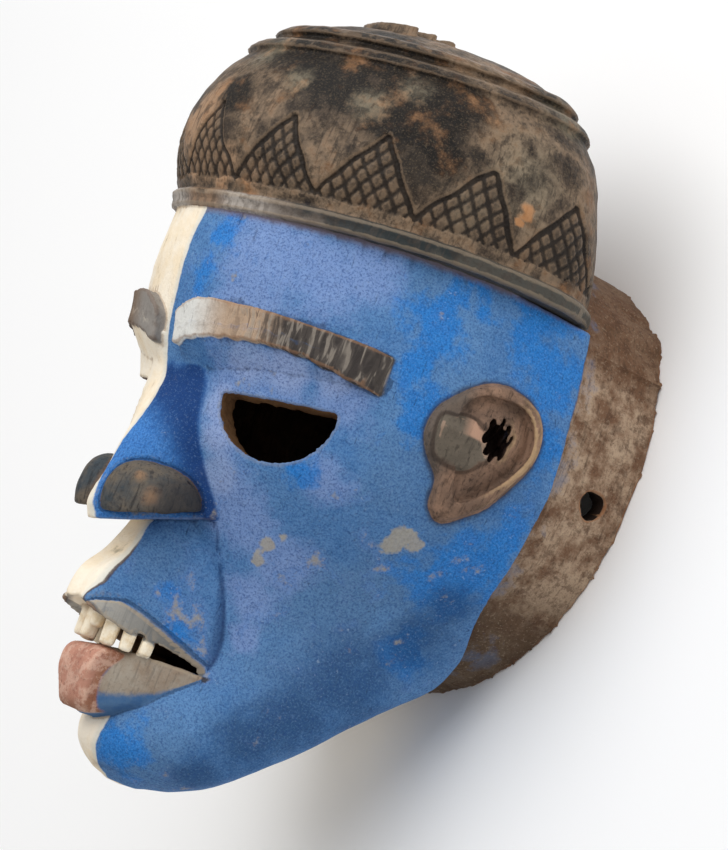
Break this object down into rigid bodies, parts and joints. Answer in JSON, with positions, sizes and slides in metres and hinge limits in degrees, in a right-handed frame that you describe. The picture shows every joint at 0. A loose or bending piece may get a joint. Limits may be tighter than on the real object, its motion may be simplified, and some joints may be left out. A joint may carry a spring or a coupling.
{
  "type": "yombe mask",
  "caption": "Hollow carved wooden face mask with a cap, painted blue and white, with open eyes and mouth; it lies on its round back rim.",
  "frame": {"origin": "centre of the bounding box at the plane of the back rim, which the mask lies on", "axes": "+Z the way the face looks, up when the mask lies down; +Y towards the crown; +X the mask's own left"},
  "size_m": [0.1972, 0.3088, 0.1781],
  "materials": {
    "painted_wood": "worn matt paint"
  },
  "bodies": {
    "root": {"carved_mask": "painted_wood"}
  },
  "joints": []
}
